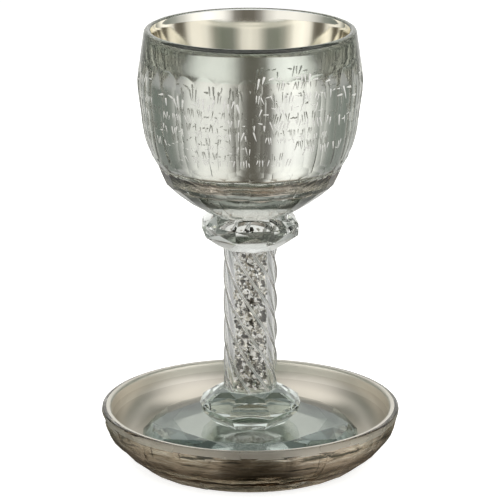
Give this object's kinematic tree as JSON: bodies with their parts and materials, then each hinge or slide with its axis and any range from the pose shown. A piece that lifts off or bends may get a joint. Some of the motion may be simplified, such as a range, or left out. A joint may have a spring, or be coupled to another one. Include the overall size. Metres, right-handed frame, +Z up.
{
  "type": "kiddush cup",
  "caption": "Stemmed ceremonial wine cup of cut crystal: fluted bowl silvered inside, twisted glass stem filled with crushed crystal, faceted knops and foot, standing in a silvered saucer.",
  "frame": {"origin": "centre of the saucer's flat underside, on the surface that it stands on", "axes": "+Z up along the stem; -Y is the front"},
  "size_m": [0.108, 0.108, 0.1593],
  "materials": {
    "clear_crystal": "polished clear crystal with a faint green tint",
    "silvered_crystal": "polished clear crystal with a warm silver lining on its inside",
    "crystal_chips": "crushed clear and mirrored crystal, sharp and sparkling",
    "frosted_marks": "shallow sand-blasted strokes, matt white"
  },
  "bodies": {
    "root": {"bowl": "silvered_crystal", "upper_knop": "clear_crystal", "stem_tube": "clear_crystal", "crushed_crystal_filling": "crystal_chips", "lower_knop": "clear_crystal", "foot_disc": "clear_crystal", "saucer": "silvered_crystal"}
  },
  "joints": []
}
